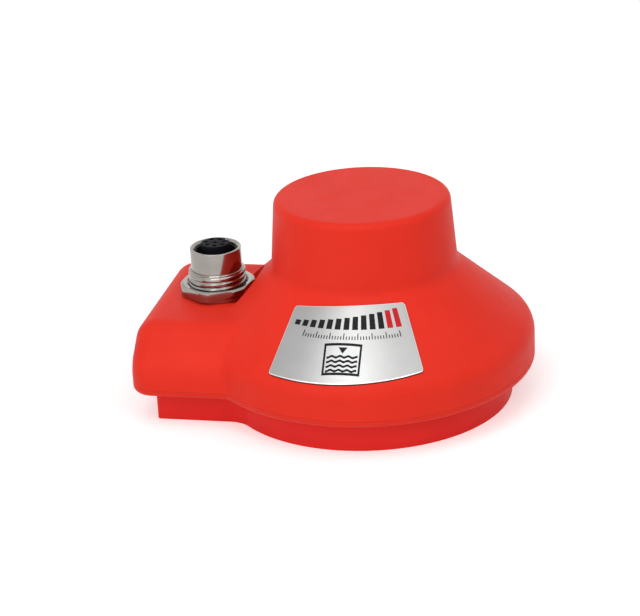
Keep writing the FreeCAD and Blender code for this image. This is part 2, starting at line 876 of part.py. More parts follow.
def radar_horn():
    """Horn that leads the radar beam down through the lens."""
    throat_low = horn_top - horn_throat_length
    spread = (horn_mouth_radius - horn_throat_radius) / (throat_low - lens_top)
    flange_over = lens_top + horn_flange_thick
    skin = horn_wall * math.hypot(1, spread)
    throat_outer = horn_throat_radius + horn_wall
    outer_mouth = horn_mouth_radius + skin
    outer_meets = lens_top + (outer_mouth - throat_outer) / spread
    top_under = horn_top - horn_top_thick
    body = turned([
        (horn_mouth_radius, lens_top),
        (horn_flange_radius, lens_top),
        (horn_flange_radius, flange_over),
        (outer_mouth - spread * horn_flange_thick, flange_over),
        (throat_outer, outer_meets),
        (throat_outer, top_under),
        (horn_top_radius, top_under),
        (horn_top_radius, horn_top),
        (horn_throat_radius, horn_top),
        (horn_throat_radius, throat_low),
    ])
    low_places = round_places(horn_screw_circle, horn_screw_angles)
    high_places = round_places(radar_screw_circle, radar_screw_angles)
    low_hole = horn_screw_radius + screw_slack
    high_hole = radar_screw_radius + screw_slack
    voids = [rod(low_hole, lens_top, flange_over, place) for place in low_places]
    voids += [rod(high_hole, top_under, horn_top, place) for place in high_places]
    return hollowed(body, voids)


def horn_lens():
    """Lens at the horn's mouth, flat below and domed above."""
    crown_radius = horn_mouth_radius - lens_crown_margin
    ball_radius = (crown_radius ** 2 + lens_crown ** 2) / (2 * lens_crown)
    ball = Part.makeSphere(ball_radius, V(0, 0, lens_top + lens_crown - ball_radius))
    crown = rod(crown_radius, lens_top, lens_top + lens_crown).common(ball)
    return joined([rod(lens_radius, base_floor, lens_top), crown])


def horn_screws():
    """Screws that hold the horn on the base."""
    one = screw(horn_screw_radius, horn_screw_length, horn_head_radius, horn_head_height)
    places = round_places(horn_screw_circle, horn_screw_angles)
    return placed(one, places, lens_top + horn_flange_thick, upward=False)


def radar_board():
    """Round circuit board on top of the horn."""
    hole = radar_screw_radius + screw_slack
    places = round_places(radar_screw_circle, radar_screw_angles)
    voids = [rod(hole, horn_top, radar_board_top, place) for place in places]
    return hollowed(rod(radar_board_radius, horn_top, radar_board_top), voids)


def radar_shield():
    """Metal lid over the radar chip."""
    inside = shield_side - 2 * shield_wall
    top = radar_board_top + shield_height
    lid = block(shield_side, shield_side, radar_board_top, top)
    return lid.cut(block(inside, inside, radar_board_top, top - shield_wall))


def radar_chip():
    """Radar chip under its lid."""
    return block(radar_chip_side, radar_chip_side, radar_board_top, radar_board_top + radar_chip_height)


def radar_screws():
    """Screws that hold the radar board on the horn."""
    one = screw(radar_screw_radius, radar_screw_length, radar_head_radius, radar_head_height)
    places = round_places(radar_screw_circle, radar_screw_angles)
    return placed(one, places, radar_board_top, upward=False)


def flex_lead():
    """Flat lead from the radar board down to the main board."""
    start_level = radar_board_top + strip_lift
    points = [
        V(-strip_start, 0, start_level),
        V(-strip_drop_reach, 0, start_level),
        V(-strip_drop_reach, 0, strip_knee_level),
        V(-strip_end, 0, strip_foot_level),
        V(-strip_end, 0, board_top + strip_foot_lift),
    ]
    radii = [0, strip_round, strip_knee_round, strip_knee_round, 0]
    path = Part.Wire(rounded(points, radii, closed=False))
    half = strip_width / 2
    low = start_level - strip_thick / 2
    high = start_level + strip_thick / 2
    section = [(-half, low), (half, low), (half, high), (-half, high), (-half, low)]
    profile = Part.makePolygon([V(-strip_start, y, z) for y, z in section])
    return path.makePipeShell([profile], True, False)


def flex_sockets():
    """Sockets for the flat lead, one on each board."""
    width = strip_width + 2 * strip_socket_side
    slot_width = strip_width + 2 * strip_slack
    slot_thick = strip_thick + 2 * strip_slack
    back = strip_start - strip_socket_back
    top = radar_board_top + strip_socket_height
    level = radar_board_top + strip_lift
    upper = block(strip_socket_depth, width, radar_board_top, top, (-back - strip_socket_depth / 2, 0))
    reach = strip_socket_depth - strip_socket_back
    slot = block(reach, slot_width, level - slot_thick / 2, level + slot_thick / 2,
                 (-strip_start - reach / 2, 0))
    upper = upper.cut(slot)
    high = board_top + strip_socket_height
    lower = block(strip_socket_depth, width, board_top, high, (-strip_end, 0))
    lower = lower.cut(block(slot_thick, slot_width, board_top + strip_foot_lift, high, (-strip_end, 0)))
    return Part.makeCompound([upper, lower])


sub_parts = [
    upper_housing, base_housing, housing_gasket, base_screws, adhesive_pad, label_plate,
    connector_shell, connector_washer, connector_nut, connector_seal, connector_insert,
    connector_contacts,
    lead_wires, lead_plug, board_header, header_pins, main_board, board_screws,
    board_capacitor, board_chips, power_coil, radar_horn, horn_lens, horn_screws,
    radar_board, radar_shield, radar_chip, radar_screws, flex_lead, flex_sockets,
]

if __name__ == "__main__":
    os.makedirs("parts", exist_ok=True)
    for sub_part in sub_parts:
        sub_part().exportStep(f"parts/{sub_part.__name__}.step")
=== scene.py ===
import bpy
import bmesh
import math
from mathutils import Matrix, Vector


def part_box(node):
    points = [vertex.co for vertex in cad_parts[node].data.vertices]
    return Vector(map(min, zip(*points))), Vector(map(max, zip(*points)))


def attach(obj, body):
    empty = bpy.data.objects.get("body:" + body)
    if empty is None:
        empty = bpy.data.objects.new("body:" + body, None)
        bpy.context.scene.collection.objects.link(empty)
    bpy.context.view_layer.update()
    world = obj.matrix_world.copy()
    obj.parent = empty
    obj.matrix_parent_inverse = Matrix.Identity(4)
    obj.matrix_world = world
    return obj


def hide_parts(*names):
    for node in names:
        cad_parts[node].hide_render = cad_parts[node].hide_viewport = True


# Tank level sensor: looks, light and camera. Metres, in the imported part's frame.
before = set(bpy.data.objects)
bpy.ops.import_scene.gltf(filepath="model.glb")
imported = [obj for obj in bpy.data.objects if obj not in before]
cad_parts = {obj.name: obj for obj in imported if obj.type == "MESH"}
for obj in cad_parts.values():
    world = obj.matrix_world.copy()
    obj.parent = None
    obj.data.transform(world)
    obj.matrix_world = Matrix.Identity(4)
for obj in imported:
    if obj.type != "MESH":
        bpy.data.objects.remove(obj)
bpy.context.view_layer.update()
MM = 0.001

# Camera, fitted to the outline in the photo's 640 x 616 frame
photo_width = 640
sensor_width = 36.0
focal_px = 2225.66
camera_azimuth = math.radians(12.88)
camera_elevation = math.radians(22.57)
camera_roll = math.radians(2.98)
camera_distance = 621.1 * MM
camera_target = Vector((-13.23, 0, 23.9)) * MM
clip_near = 0.01
clip_far = 100

# Light: a square lamp is given by its place, its side and its radiance
world_level = 0.5
key_place = Vector((-0.12, -0.5, 1.08))
key_side = 0.5
key_radiance = 2.85
top_place = Vector((0.35, -0.25, 1.15))
top_side = 0.9
top_radiance = 0.6
fill_place = Vector((-0.36, -0.9, 0.46))
fill_side = 0.7
fill_radiance = 1.5
glint_place = Vector((0.275, -0.385, 0.42))
glint_side = 0.13
glint_radiance = 6.0
rim_place = Vector((-0.25, 0.9, 0.42))
rim_side = 0.15
rim_radiance = 0.35
floor_half = 6.0
floor_drop = 0.02 * MM
floor_colour = (0.85, 0.85, 0.85)
floor_roughness = 0.9
floor_glow = 0.43

# Receptacle: a turned shell with a thread outside and one inside
plug_low, plug_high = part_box("connector_shell")
nut_low, nut_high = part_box("connector_nut")
plug_x = (plug_low.x + plug_high.x) / 2
flange_radius = (plug_high.x - plug_low.x) / 2
barrel_top = plug_high.z
shell_end = plug_low.z
washer_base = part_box("connector_washer")[0].z
stub_radius = 8.0 * MM
stub_pitch = 1.5 * MM
stub_chamfer = 0.55 * MM
barrel_radius = 7.15 * MM
barrel_length = 6.1 * MM
barrel_round = 0.22 * MM
mouth_radius = 6.45 * MM
mouth_round = 0.12 * MM
bore_pitch = 1.0 * MM
bore_thread_length = 8.2 * MM
socket_radius = 6.0 * MM
socket_depth = 10.0 * MM
seat_radius = 4.8 * MM
tail_radius = 7.7 * MM
tail_length = 3.1 * MM
flange_thick = 2.7 * MM
stub_thread_depth = 0.35 * MM
bore_thread_depth = 0.45 * MM
thread_steepness = 0.9
thread_crest_bias = 0.25
bore_lead = 0.5 * MM
rings_per_pitch = 20
turned_steps = 180
round_steps = 4
shell_sharp_angle = math.radians(50)

# Nut: a six-sided ring whose corners are turned off
nut_half_flats = 9.7 * MM
nut_corner_radius = 10.4 * MM
nut_chamfer = 0.8 * MM
nut_chamfer_slope = 0.5
nut_bore = 8.05 * MM
nut_countersink = 0.7 * MM
nut_turn = math.radians(50)
nut_round = 0.12 * MM
nut_sharp_angle = math.radians(18)

# Small roundings on the edges of the washer and the insert
washer_edge = 0.08 * MM
insert_edge = 0.12 * MM
edge_segments = 3
edge_angle = math.radians(28)
weld_gap = 0.001 * MM

# Label: two bowed edges and two straight sides, seen from above, on the cover's slope
cover_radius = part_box("upper_housing")[1].x
shoulder_level = 20.25 * MM
shoulder_slope = math.radians(41)
label_turn = math.radians(-87.65)
label_tilt = math.radians(2)
label_head_middle = 27.92 * MM
label_head_bow = 3.15 * MM
label_head_half = 14.6 * MM
label_foot_middle = 45.2 * MM
label_foot_bow = 6.0 * MM
label_foot_half = 20.6 * MM
label_corner = 0.8 * MM
label_under = 0.05 * MM
label_over = 0.35 * MM
label_rim_width = 0.18 * MM
label_rim_depth = 0.08 * MM
label_steps = 24

# Label print, in radii and angles on the same slope
print_under = 0.33 * MM
print_over = 0.375 * MM
step_angle = math.radians(1.5)
bar_count = 13
red_bars = 2
bar_foot = 33.1 * MM
bar_least = 1.1 * MM
bar_most = 4.2 * MM
bar_start = math.radians(-113.7)
bar_end = math.radians(-62.5)
bar_share = 0.66
tick_count = 36
tick_foot = 35.3 * MM
tick_height = 0.75 * MM
long_tick_height = 1.4 * MM
tick_start = math.radians(-107.5)
tick_end = math.radians(-64.0)
tick_share = 0.34
long_tick_every = 5
tank_turn = math.radians(-88.6)
tank_near = 36.0 * MM
tank_far = 43.0 * MM
tank_half_width = 5.0 * MM
tank_stroke = 0.55 * MM
field_step = 0.3 * MM
wave_near = 38.75 * MM
wave_gap = 1.0 * MM
wave_count = 4
wave_thick = 0.5 * MM
wave_height = 0.17 * MM
wave_length = 2.2 * MM
wave_margin = 0.9 * MM
mark_near = 36.95 * MM
mark_tip = 38.3 * MM
mark_half_width = 1.2 * MM
mark_blunt = 0.01 * MM

# Parting line of the mould, a fine ridge around the cover
line_level = 11.65 * MM
line_half_width = 0.28 * MM
line_height = 0.14 * MM

# Textures: the share of a noise that counts, its sizes, and how far a gloss strays
noise_low = 0.3
noise_high = 0.7
plastic_drift = 14 * MM
plastic_gloss_patch = 5 * MM
metal_drift = 6 * MM
gloss_spread = 0.03
metal_dulling = 0.04


def build_camera():
    """Camera at the photo's place and angle."""
    back = Vector((
        math.sin(camera_azimuth) * math.cos(camera_elevation),
        -math.cos(camera_azimuth) * math.cos(camera_elevation),
        math.sin(camera_elevation),
    ))
    right = (-back).cross(Vector((0, 0, 1))).normalized()
    up = right.cross(-back)
    turn = Matrix.Rotation(-camera_roll, 3, back)
    right, up = turn @ right, turn @ up
    data = bpy.data.cameras.new("camera")
    data.sensor_width = sensor_width
    data.lens = focal_px * sensor_width / photo_width
    data.clip_start = clip_near
    data.clip_end = clip_far
    camera = bpy.data.objects.new("camera", data)
    axes = Matrix((right, up, back)).transposed().to_4x4()
    camera.matrix_world = Matrix.Translation(camera_target + back * camera_distance) @ axes
    bpy.context.scene.collection.objects.link(camera)
    bpy.context.scene.camera = camera


def seen_or_mirrored(tree):
    """1 for rays from the camera, off a glossy surface or through a clear one, else 0."""
    path = tree.nodes.new("ShaderNodeLightPath")
    seen = path.outputs["Is Camera Ray"]
    for kind in ("Is Glossy Ray", "Is Transmission Ray"):
        either = tree.nodes.new("ShaderNodeMath")
        either.operation = "MAXIMUM"
        tree.links.new(seen, either.inputs[0])
        tree.links.new(path.outputs[kind], either.inputs[1])
        seen = either.outputs[0]
    return seen


def build_world():
    """White to the camera and in reflections, dimmer as a light."""
    world = bpy.data.worlds.new("world")
    bpy.context.scene.world = world
    world.use_nodes = True
    tree = world.node_tree
    tree.nodes.clear()
    level = tree.nodes.new("ShaderNodeMapRange")
    level.inputs["To Min"].default_value = world_level
    level.inputs["To Max"].default_value = 1.0
    tree.links.new(seen_or_mirrored(tree), level.inputs["Value"])
    shade = tree.nodes.new("ShaderNodeBackground")
    shade.inputs["Color"].default_value = (1, 1, 1, 1)
    tree.links.new(level.outputs["Result"], shade.inputs["Strength"])
    out = tree.nodes.new("ShaderNodeOutputWorld")
    tree.links.new(shade.outputs[0], out.inputs["Surface"])


def build_lamp(name, place, side, radiance):
    """Square lamp of a given radiance that looks at the sensor."""
    data = bpy.data.lights.new(name, "AREA")
    data.shape = "SQUARE"
    data.size = side
    data.energy = radiance * math.pi * side ** 2
    lamp = bpy.data.objects.new(name, data)
    lamp.location = place
    lamp.rotation_euler = (camera_target - place).to_track_quat("-Z", "Y").to_euler()
    bpy.context.scene.collection.objects.link(lamp)


def build_floor():
    """Plain pale floor that shows as white and keeps the shadow."""
    mesh = bpy.data.meshes.new("floor")
    corners = [(-floor_half, -floor_half, 0), (floor_half, -floor_half, 0)]
    corners += [(floor_half, floor_half, 0), (-floor_half, floor_half, 0)]
    mesh.from_pydata(corners, [], [(0, 1, 2, 3)])
    floor = bpy.data.objects.new("floor", mesh)
    floor.location.z = -floor_drop
    bpy.context.scene.collection.objects.link(floor)
    material = surface("floor", floor_colour, floor_roughness, specular=0.0)
    tree = material.node_tree
    glow = tree.nodes.new("ShaderNodeMath")
    glow.operation = "MULTIPLY"
    glow.inputs[1].default_value = floor_glow
    tree.links.new(seen_or_mirrored(tree), glow.inputs[0])
    shader = shader_of(material)
    shader.inputs["Emission Color"].default_value = (1, 1, 1, 1)
    tree.links.new(glow.outputs[0], shader.inputs["Emission Strength"])
    mesh.materials.append(material)


def surface(name, colour, roughness, metallic=0.0, specular=0.5):
    """Material with one shader, whose fixed values sit on its own sockets."""
    material = bpy.data.materials.new(name)
    material.use_nodes = True
    shader = shader_of(material)
    shader.inputs["Base Color"].default_value = (*colour, 1)
    shader.inputs["Roughness"].default_value = roughness
    shader.inputs["Metallic"].default_value = metallic
    shader.inputs["Specular IOR Level"].default_value = specular
    return material


def shader_of(material):
    """The material's shader."""
    return material.node_tree.nodes["Principled BSDF"]


def scaled_place(material, stretch=(1, 1, 1)):
    """Place on the object, stretched along its axes."""
    tree = material.node_tree
    place = tree.nodes.new("ShaderNodeTexCoord")
    mapping = tree.nodes.new("ShaderNodeMapping")
    mapping.inputs["Scale"].default_value = stretch
    tree.links.new(place.outputs["Object"], mapping.inputs["Vector"])
    return mapping.outputs["Vector"]


def noise(material, size, detail=2.0, stretch=(1, 1, 1)):
    """Noise with grains of about the given size."""
    tree = material.node_tree
    texture = tree.nodes.new("ShaderNodeTexNoise")
    texture.inputs["Scale"].default_value = 1 / size
    texture.inputs["Detail"].default_value = detail
    tree.links.new(scaled_place(material, stretch), texture.inputs["Vector"])
    return texture.outputs["Fac"]


def cells(material, size):
    """Distance from the middle of round cells of about the given size."""
    tree = material.node_tree
    texture = tree.nodes.new("ShaderNodeTexVoronoi")
    texture.inputs["Scale"].default_value = 1 / size
    tree.links.new(scaled_place(material), texture.inputs["Vector"])
    return texture.outputs["Distance"]


def tint(material, factor, dark, light, low=noise_low, high=noise_high):
    """Let the colour follow a texture from dark to light."""
    tree = material.node_tree
    ramp = tree.nodes.new("ShaderNodeValToRGB")
    for element, place, colour in zip(ramp.color_ramp.elements, (low, high), (dark, light)):
        element.position = place
        element.color = (*colour, 1)
    tree.links.new(factor, ramp.inputs["Fac"])
    tree.links.new(ramp.outputs["Color"], shader_of(material).inputs["Base Color"])


def vary_roughness(material, factor, low, high):
    """Let the roughness follow a texture between two values."""
    tree = material.node_tree
    spread = tree.nodes.new("ShaderNodeMapRange")
    spread.inputs["From Min"].default_value = noise_low
    spread.inputs["From Max"].default_value = noise_high
    spread.inputs["To Min"].default_value = low
    spread.inputs["To Max"].default_value = high
    tree.links.new(factor, spread.inputs["Value"])
    tree.links.new(spread.outputs["Result"], shader_of(material).inputs["Roughness"])


def bump(material, factor, depth):
    """Fine relief of the given depth, over any relief that is there already."""
    tree = material.node_tree
    relief = tree.nodes.new("ShaderNodeBump")
    relief.inputs["Distance"].default_value = depth
    tree.links.new(factor, relief.inputs["Height"])
    normal = shader_of(material).inputs["Normal"]
    for link in normal.links:
        tree.links.new(link.from_socket, relief.inputs["Normal"])
    tree.links.new(relief.outputs["Normal"], normal)


def parting_line(material):
    """1 on the mould's parting line, falling to 0 beside it."""
    tree = material.node_tree
    place = tree.nodes.new("ShaderNodeSeparateXYZ")
    tree.links.new(scaled_place(material), place.inputs["Vector"])
    above = tree.nodes.new("ShaderNodeMath")
    above.operation = "SUBTRACT"
    above.inputs[1].default_value = line_level
    tree.links.new(place.outputs["Z"], above.inputs[0])
    apart = tree.nodes.new("ShaderNodeMath")
    apart.operation = "ABSOLUTE"
    tree.links.new(above.outputs[0], apart.inputs[0])
    ridge = tree.nodes.new("ShaderNodeMapRange")
    ridge.interpolation_type = "SMOOTHSTEP"
    ridge.inputs["From Max"].default_value = line_half_width
    ridge.inputs["To Min"].default_value = 1.0
    ridge.inputs["To Max"].default_value = 0.0
    tree.links.new(apart.outputs[0], ridge.inputs["Value"])
    return ridge.outputs["Result"]


def moulded(name, dark, light, roughness, grain, depth, specular):
    """Moulded plastic: a faint drift of colour, an uneven gloss and a fine grain."""
    material = surface(name, light, roughness, specular=specular)
    tint(material, noise(material, plastic_drift), dark, light)
    patches = noise(material, plastic_gloss_patch)
    vary_roughness(material, patches, roughness - gloss_spread, roughness + gloss_spread)
    bump(material, noise(material, grain, detail=1.0), depth)
    return material


def cover_red():
    """Red satin plastic of the cover, with the mould's parting line."""
    material = moulded(
        "cover_red", dark=(0.815, 0.028, 0.012), light=(0.845, 0.031, 0.014),
        roughness=0.52, grain=0.45 * MM, depth=0.008 * MM, specular=0.16,
    )
    bump(material, parting_line(material), line_height)
    return material


def base_red():
    """Red plastic of the base, a shade deeper, and lightened as painted light against the shade under
    the cover's overhang.
    """
    return moulded(
        "base_red", dark=(0.85, 0.022, 0.017), light=(0.88, 0.025, 0.019),
        roughness=0.5, grain=0.5 * MM, depth=0.01 * MM, specular=0.2,
    )


def seal_rubber():
    """Matt black rubber."""
    return moulded(
        "seal_rubber", dark=(0.018, 0.018, 0.02), light=(0.03, 0.03, 0.032),
        roughness=0.7, grain=0.3 * MM, depth=0.01 * MM, specular=0.3,
    )


def insert_black():
    """Black moulded carrier of the contacts."""
    return moulded(
        "insert_black", dark=(0.005, 0.005, 0.008), light=(0.009, 0.009, 0.013),
        roughness=0.45, grain=0.3 * MM, depth=0.008 * MM, specular=0.04,
    )


def plug_white():
    """Off-white moulded plastic."""
    return moulded(
        "plug_white", dark=(0.72, 0.69, 0.62), light=(0.8, 0.77, 0.7),
        roughness=0.45, grain=0.3 * MM, depth=0.006 * MM, specular=0.5,
    )


def lens_white():
    """Smooth white plastic of the lens."""
    return moulded(
        "lens_white", dark=(0.8, 0.8, 0.79), light=(0.86, 0.86, 0.85),
        roughness=0.3, grain=0.6 * MM, depth=0.004 * MM, specular=0.5,
    )


def chip_black():
    """Dark moulded chips."""
    return moulded(
        "chip_black", dark=(0.02, 0.02, 0.021), light=(0.035, 0.035, 0.036),
        roughness=0.5, grain=0.15 * MM, depth=0.005 * MM, specular=0.5,
    )


def coil_ferrite():
    """Matt grey ferrite."""
    return moulded(
        "coil_ferrite", dark=(0.05, 0.05, 0.055), light=(0.09, 0.09, 0.095),
        roughness=0.65, grain=0.2 * MM, depth=0.01 * MM, specular=0.4,
    )


def metal(name, dark, light, roughness, grain, stretch, depth):
    """Metal whose fine lines run along the axes with the smallest stretch."""
    material = surface(name, light, roughness, metallic=1.0)
    lines = noise(material, grain, detail=2.0, stretch=stretch)
    tint(material, noise(material, metal_drift), dark, light)
    vary_roughness(material, lines, roughness - gloss_spread, roughness + metal_dulling)
    bump(material, lines, depth)
    return material


def nickel():
    """Nickel plating with faint turning lines."""
    return metal(
        "nickel", dark=(0.305, 0.282, 0.262), light=(0.352, 0.328, 0.304),
        roughness=0.12, grain=0.5 * MM, stretch=(0.15, 0.15, 4), depth=0.001 * MM,
    )


def painted_shade_nickel():
    """Nickel darkened nearly to black: painted shade deep inside the socket."""
    return metal(
        "painted_shade_nickel", dark=(0.02, 0.019, 0.017), light=(0.035, 0.033, 0.03),
        roughness=0.4, grain=0.3 * MM, stretch=(1, 1, 1), depth=0.002 * MM,
    )


def label_silver():
    """Satin silver foil of the label."""
    return metal(
        "label_silver", dark=(0.37, 0.375, 0.37), light=(0.395, 0.4, 0.395),
        roughness=0.36, grain=0.25 * MM, stretch=(0.3, 1, 1), depth=0.0006 * MM,
    )


def painted_highlight_rim():
    """Rolled edge of the label, lighter than the foil as a painted highlight."""
    return metal(
        "painted_highlight_rim", dark=(0.68, 0.64, 0.62), light=(0.76, 0.72, 0.7),
        roughness=0.3, grain=0.3 * MM, stretch=(1, 1, 1), depth=0.0005 * MM,
    )


def painted_shade_backing():
    """Wall of the label under the foil, darkened as painted shade along the label's edge."""
    return moulded(
        "painted_shade_backing", dark=(0.05, 0.012, 0.01), light=(0.08, 0.02, 0.016),
        roughness=0.7, grain=0.2 * MM, depth=0.004 * MM, specular=0.2,
    )


def screw_steel():
    """Zinc plated steel."""
    return metal(
        "screw_steel", dark=(0.52, 0.53, 0.55), light=(0.62, 0.63, 0.64),
        roughness=0.3, grain=0.3 * MM, stretch=(1, 1, 1), depth=0.003 * MM,
    )


def capacitor_can():
    """Bright drawn can."""
    return metal(
        "capacitor_can", dark=(0.6, 0.6, 0.62), light=(0.68, 0.68, 0.7),
        roughness=0.2, grain=0.3 * MM, stretch=(1, 1, 0.2), depth=0.002 * MM,
    )


def contact_gold():
    """Gold plated contacts."""
    return metal(
        "contact_gold", dark=(0.72, 0.5, 0.17), light=(0.83, 0.6, 0.22),
        roughness=0.25, grain=0.2 * MM, stretch=(1, 1, 1), depth=0.001 * MM,
    )


def horn_metal():
    """Die-cast horn."""
    return metal(
        "horn_metal", dark=(0.55, 0.55, 0.57), light=(0.66, 0.66, 0.68),
        roughness=0.45, grain=0.4 * MM, stretch=(1, 1, 1), depth=0.02 * MM,
    )


def shield_tin():
    """Tinned lid."""
    return metal(
        "shield_tin", dark=(0.58, 0.58, 0.57), light=(0.66, 0.66, 0.65),
        roughness=0.28, grain=0.4 * MM, stretch=(0.3, 1, 1), depth=0.002 * MM,
    )


def pad_foam():
    """Dark foam of the adhesive pad, with small open cells."""
    material = surface("pad_foam", (0.03, 0.03, 0.032), roughness=0.85, specular=0.2)
    pores = cells(material, size=0.45 * MM)
    tint(material, pores, dark=(0.015, 0.015, 0.016), light=(0.05, 0.05, 0.053), low=0.1, high=0.6)
    bump(material, pores, depth=0.12 * MM)
    return material


def board_green():
    """Solder mask over a net of tracks."""
    material = surface("board_green", (0.02, 0.12, 0.05), roughness=0.35)
    tree = material.node_tree
    tracks = tree.nodes.new("ShaderNodeTexBrick")
    tracks.inputs["Scale"].default_value = 1 / (4 * MM)
    tracks.inputs["Mortar Size"].default_value = 0.03
    tree.links.new(scaled_place(material), tracks.inputs["Vector"])
    cover = tracks.outputs["Fac"]
    tint(material, cover, dark=(0.015, 0.1, 0.04), light=(0.04, 0.2, 0.08), low=0.0, high=1.0)
    bump(material, cover, depth=0.02 * MM)
    return material


def wire_skin():
    """Smooth wire skins, each wire in its own colour."""
    colours = [(0.7, 0.7, 0.68), (0.16, 0.07, 0.03), (0.05, 0.3, 0.08), (0.75, 0.6, 0.05)]
    colours += [(0.2, 0.2, 0.21), (0.7, 0.3, 0.35), (0.03, 0.1, 0.45), (0.6, 0.03, 0.03)]
    material = surface("wire_skin", colours[0], roughness=0.4)
    tree = material.node_tree
    piece = tree.nodes.new("ShaderNodeNewGeometry")
    ramp = tree.nodes.new("ShaderNodeValToRGB")
    ramp.color_ramp.interpolation = "CONSTANT"
    elements = ramp.color_ramp.elements
    while len(elements) < len(colours):
        elements.new(0.5)
    for i, colour in enumerate(colours):
        elements[i].position = i / len(colours)
        elements[i].color = (*colour, 1)
    tree.links.new(piece.outputs["Random Per Island"], ramp.inputs["Fac"])
    tree.links.new(ramp.outputs["Color"], shader_of(material).inputs["Base Color"])
    bump(material, noise(material, size=0.3 * MM), depth=0.004 * MM)
    return material


def flex_amber():
    """Amber film with copper tracks along it."""
    material = surface("flex_amber", (0.4, 0.17, 0.03), roughness=0.3)
    tree = material.node_tree
    tracks = tree.nodes.new("ShaderNodeTexWave")
    tracks.bands_direction = "Y"
    tracks.inputs["Scale"].default_value = 1 / (6 * MM)
    tree.links.new(scaled_place(material), tracks.inputs["Vector"])
    height = tracks.outputs["Fac"]
    tint(material, height, dark=(0.3, 0.11, 0.02), light=(0.55, 0.26, 0.06), low=0.4, high=0.6)
    bump(material, height, depth=0.01 * MM)
    return material


def ink(name, dark, light):
    """Printed ink, with a faintly uneven cover."""
    material = surface(name, light, roughness=0.4, specular=0.12)
    tint(material, noise(material, size=0.6 * MM), dark, light)
    vary_roughness(material, noise(material, size=0.3 * MM), low=0.36, high=0.46)
    return material


def dress(material, *names):
    """Give CAD nodes a material."""
    for name in names:
        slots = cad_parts[name].data.materials
        slots.clear()
        slots.append(material)


def soften_edges(name, width):
    """Round a CAD node's sharp edges a little, by modifiers alone."""
    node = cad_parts[name]
    weld = node.modifiers.new("weld", "WELD")
    weld.merge_threshold = weld_gap
    edge = node.modifiers.new("edge", "BEVEL")
    edge.width = width
    edge.segments = edge_segments
    edge.limit_method = "ANGLE"
    edge.angle_limit = edge_angle
    normals = node.modifiers.new("normals", "WEIGHTED_NORMAL")
    normals.keep_sharp = False


def add_piece(name, skin, material):
    """Make a piece of the object from a finished skin."""
    bmesh.ops.recalc_face_normals(skin, faces=skin.faces)
    mesh = bpy.data.meshes.new(name)
    skin.to_mesh(mesh)
    skin.free()
    mesh.materials.append(material)
    piece = bpy.data.objects.new(name, mesh)
    bpy.context.scene.collection.objects.link(piece)
    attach(piece, "root")
    return piece


def thread_lift(level, turn, pitch):
    """Height of a thread's profile, 0 at its root and 1 on its flat crest."""
    swing = math.cos(2 * math.pi * level / pitch - turn)
    return min(max(0.5 + thread_steepness * (swing + thread_crest_bias), 0), 1)


def levels_between(low, high, pitch):
    """Levels for the rings of a thread, upwards."""
    count = round((high - low) / pitch * rings_per_pitch)
    return [low + (high - low) * i / count for i in range(count + 1)]


def arc_points(middle, radius, start, end):
    """Points on an arc in the (radius, level) plane."""
    points = []
    for i in range(round_steps + 1):
        turn = math.radians(start + (end - start) * i / round_steps)
        points.append((middle[0] + radius * math.cos(turn), middle[1] + radius * math.sin(turn)))
    return points


def shell_rings(turn):
    """The shell's outline at one turn about its axis, as (radius, level) pairs."""
    flange_under = shell_end + tail_length
    flange_over = flange_under + flange_thick
    stub_top = barrel_top - barrel_length
    points = [(seat_radius, shell_end), (tail_radius, shell_end), (tail_radius, flange_under)]
    points += [(flange_radius, flange_under), (flange_radius, flange_over), (stub_radius, flange_over)]
    for level in levels_between(washer_base, stub_top, stub_pitch):
        crest = stub_radius - max(level - (stub_top - stub_chamfer), 0)
        thread = stub_radius - stub_thread_depth * (1 - thread_lift(level, turn, stub_pitch))
        points.append((min(crest, thread), level))
    points.append((barrel_radius, stub_top))
    outer = (barrel_radius - barrel_round, barrel_top - barrel_round)
    points += arc_points(outer, barrel_round, 0, 90)
    points += arc_points((mouth_radius + mouth_round, barrel_top - mouth_round), mouth_round, 90, 180)
    mouth_level = barrel_top - mouth_round
    for level in reversed(levels_between(barrel_top - bore_thread_length, mouth_level, bore_pitch)):
        cone = mouth_radius - (mouth_level - level)
        thread = socket_radius - bore_thread_depth * thread_lift(level, turn, bore_pitch)
        points.append((max(cone, thread), level))
    points.append((socket_radius, barrel_top - bore_thread_length))
    points.append((socket_radius, barrel_top - socket_depth))
    points.append((seat_radius, barrel_top - socket_depth))
    return points


def nut_rings(turn):
    """The nut's outline at one turn about its axis, as (radius, level) pairs."""
    side = math.pi / 3
    from_flat = (turn - nut_turn + side / 2) % side - side / 2
    outer = min(nut_half_flats / math.cos(from_flat), nut_corner_radius)
    base, top = nut_low.z, nut_high.z
    crown = nut_corner_radius - nut_chamfer
    middle = outer - nut_round
    lean = math.atan(nut_chamfer_slope)
    centre = (middle, top - (middle - crown) * nut_chamfer_slope - nut_round / math.cos(lean))
    points = [(nut_bore, base), (middle, base), (outer, base + nut_round)]
    points += arc_points(centre, nut_round, 0, 90 - math.degrees(lean))
    points += [(crown, top), (nut_bore + nut_countersink, top), (nut_bore, top - nut_countersink)]
    return points


def build_turned(name, outline, material, sharp_angle):
    """Closed skin about the receptacle's axis, from an outline for each turn."""
    skin = bmesh.new()
    columns = []
    for i in range(turned_steps):
        turn = 2 * math.pi * i / turned_steps
        across = Vector((math.cos(turn), math.sin(turn), 0))
        columns.append([
            skin.verts.new(Vector((plug_x, 0, level)) + across * radius)
            for radius, level in outline(turn)
        ])
    for i, column in enumerate(columns):
        join_loops(skin, column, columns[(i + 1) % turned_steps])
    piece = add_piece(name, skin, material)
    piece.data.set_sharp_from_angle(angle=sharp_angle)
    return piece


def join_loops(skin, loop, following):
    """Faces between two closed loops of points."""
    count = len(loop)
    for j in range(count):
        k = (j + 1) % count
        skin.faces.new((loop[j], following[j], following[k], loop[k])).smooth = True


